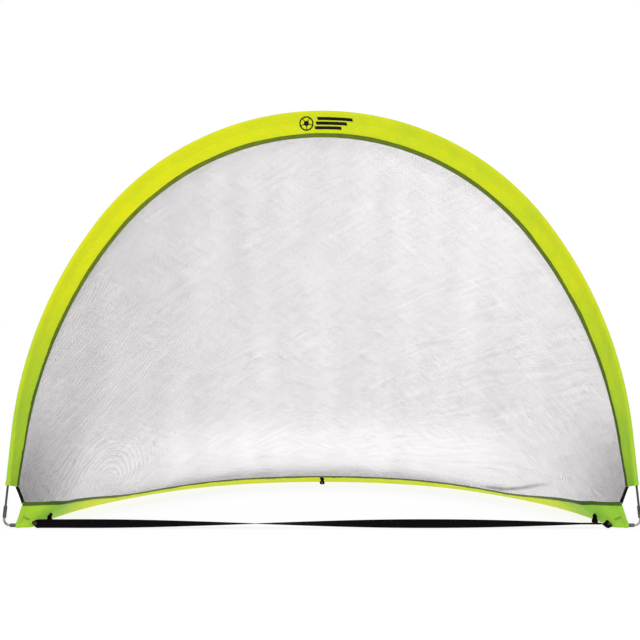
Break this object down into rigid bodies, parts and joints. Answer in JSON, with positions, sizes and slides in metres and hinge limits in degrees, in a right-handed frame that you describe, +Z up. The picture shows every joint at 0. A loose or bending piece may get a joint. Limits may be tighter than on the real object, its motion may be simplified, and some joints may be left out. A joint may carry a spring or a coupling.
{
  "type": "pop-up goal",
  "caption": "Folding pop-up goal: fabric-sleeved arch hinged at both front corners to a sleeved ground loop, with a mesh net draped between them and webbing loops for pegs.",
  "frame": {"origin": "centre of the footprint at ground level", "axes": "+X to the right seen from the mouth, +Y towards the back of the net, +Z up"},
  "size_m": [1.8284, 1.0351, 1.2189],
  "materials": {
    "net": "fine open polyester mesh, black yarn",
    "sleeve": "coated neon taffeta, slight sheen",
    "seam_tape": "mesh hem stitched over the taffeta",
    "hem": "folded taffeta hem, stitched",
    "binding": "ribbed polyester binding",
    "webbing": "woven webbing, ribbed",
    "bartack": "dense zigzag stitching",
    "emblem": "screen-printed ink",
    "rod": "pultruded glass fibre, satin",
    "steel": "bent round bar, zinc plated",
    "ferrule": "crimped tube, dull plated"
  },
  "bodies": {
    "base": {"base_rod": "rod", "base_knuckle_left": "ferrule", "base_knuckle_right": "ferrule", "base_sleeve": "sleeve", "base_hem_tape": "seam_tape", "base_end_hem_left": "hem", "base_end_hem_right": "hem", "front_strap": "webbing", "strap_bartack_left": "bartack", "strap_bartack_right": "bartack", "net_panel": "net", "corner_binding_left": "binding", "corner_binding_right": "binding"},
    "arch": {"arch_rod": "rod", "arch_ferrule_left": "ferrule", "arch_ferrule_right": "ferrule", "corner_elbow_left": "steel", "corner_elbow_right": "steel", "arch_sleeve": "sleeve", "arch_hem_tape": "seam_tape", "arch_end_hem_left": "hem", "arch_end_hem_right": "hem", "crown_badge": "emblem"},
    "left_loop": {"stake_loop_left": "webbing"},
    "right_loop": {"stake_loop_right": "webbing"},
    "rear_loop": {"stake_loop_rear": "webbing"}
  },
  "joints": [
    {"name": "arch_fold", "type": "hinge", "parent": "base", "child": "arch", "pos_m": [0, -0.50505, 0.0078], "axis": [-1, 0, 0], "range_deg": [0, 78], "deforming": ["net_panel", "corner_binding_left", "corner_binding_right"]},
    {"name": "left_loop_swing", "type": "hinge", "parent": "base", "child": "left_loop", "pos_m": [-0.79308, -0.43295, 0.02292], "axis": [0.866, -0.5, 0], "range_deg": [-15, 15]},
    {"name": "right_loop_swing", "type": "hinge", "parent": "base", "child": "right_loop", "pos_m": [0.79308, -0.43295, 0.02292], "axis": [0.866, 0.5, 0], "range_deg": [-15, 15]},
    {"name": "rear_loop_swing", "type": "hinge", "parent": "base", "child": "rear_loop", "pos_m": [0, 0.44703, 0.02078], "axis": [0.5, 0.866, 0], "range_deg": [-15, 15]}
  ]
}
